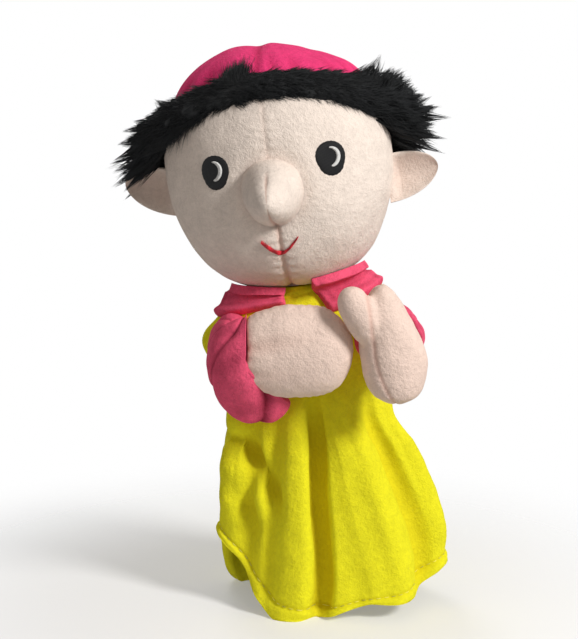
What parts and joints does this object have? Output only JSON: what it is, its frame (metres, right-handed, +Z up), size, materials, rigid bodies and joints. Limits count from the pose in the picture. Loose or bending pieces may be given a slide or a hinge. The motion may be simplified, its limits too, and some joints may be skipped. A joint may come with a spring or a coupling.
{
  "type": "plush hand puppet",
  "caption": "Glove puppet with a stuffed plush head, fur band and cap, collar, padded mitts and an open folded tunic that a hand fills.",
  "frame": {"origin": "on the ground below the middle of the puppet's bounding box", "axes": "+Z up through the head, -Y is the way the face looks, +X to the viewer's right"},
  "size_m": [0.1628, 0.1334, 0.2727],
  "materials": {
    "face_plush": "short-nap pale pink-cream plush",
    "filling": "loose polyester fibre",
    "lining": "thin knitted lining",
    "long_fur": "long-pile black faux fur",
    "cap_plush": "soft pink plush",
    "black_thread": "satin-stitched black thread",
    "white_thread": "satin-stitched white thread",
    "red_thread": "satin-stitched red thread",
    "magenta_plush": "short-nap magenta plush",
    "yellow_plush": "short-nap bright yellow plush",
    "mitt_plush": "short-nap skin-pink plush"
  },
  "bodies": {
    "root": {"face_panel_left": "face_plush", "face_panel_right": "face_plush", "head_back_panel": "face_plush", "head_stuffing": "filling", "finger_pocket": "lining", "nose": "face_plush", "ear_left": "face_plush", "ear_right": "face_plush", "hair_band": "long_fur", "cap_crown": "cap_plush", "eye_left": "black_thread", "eye_right": "black_thread", "eye_crescent_left": "white_thread", "eye_crescent_right": "white_thread", "mouth_stitch": "red_thread", "collar_left": "magenta_plush", "collar_right": "magenta_plush", "tunic_front": "yellow_plush", "tunic_back": "yellow_plush", "sleeve_left": "magenta_plush", "sleeve_left_forearm": "magenta_plush", "sleeve_right": "magenta_plush", "hand_left": "mitt_plush", "hand_right": "mitt_plush"}
  },
  "joints": []
}
